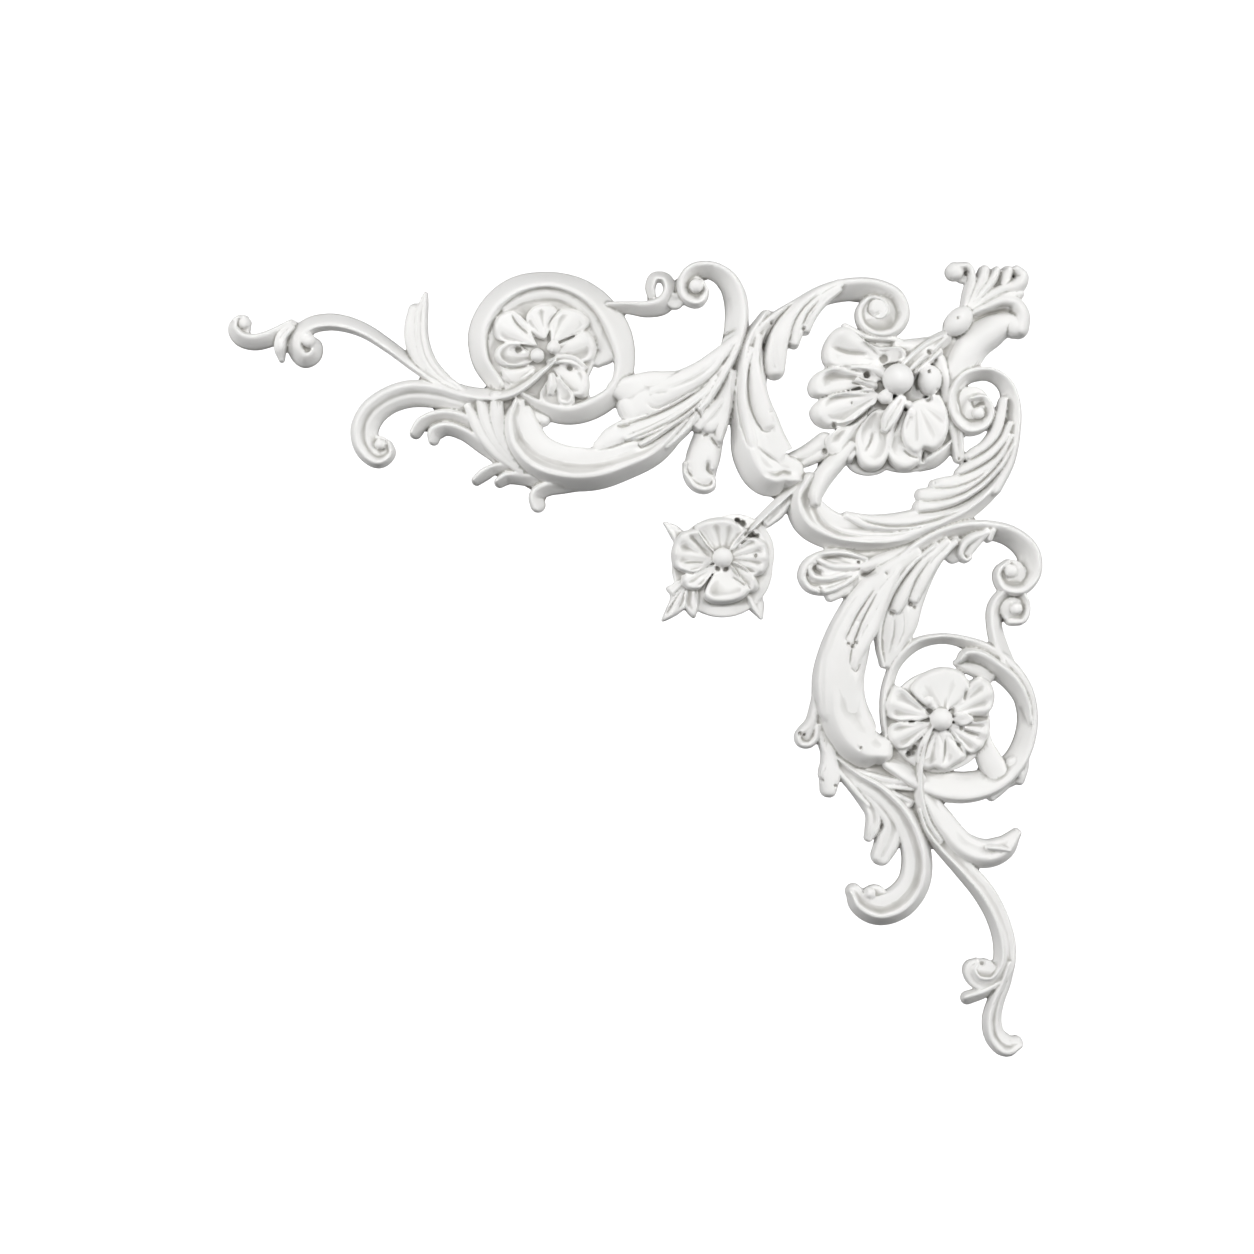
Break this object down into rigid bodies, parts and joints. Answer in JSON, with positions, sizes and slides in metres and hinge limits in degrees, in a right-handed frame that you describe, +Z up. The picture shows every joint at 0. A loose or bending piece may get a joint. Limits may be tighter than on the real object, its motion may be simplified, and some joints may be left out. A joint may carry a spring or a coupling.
{
  "type": "corner applique",
  "caption": "White primed cast corner ornament of leaf scrolls, rings, flowers and a hanging rosette, with a flat back that is glued to a wall or cabinet",
  "frame": {"origin": "On the flat glued back, behind the middle of the big flower near the corner", "axes": "+X runs right along the upper wing's wall, +Z runs up, +Y points into the wall; the carving faces -Y"},
  "size_m": [0.4062, 0.024, 0.3972],
  "materials": {
    "white_primer": "matt white primer over cast resin"
  },
  "bodies": {
    "root": {"applique": "white_primer"}
  },
  "joints": []
}
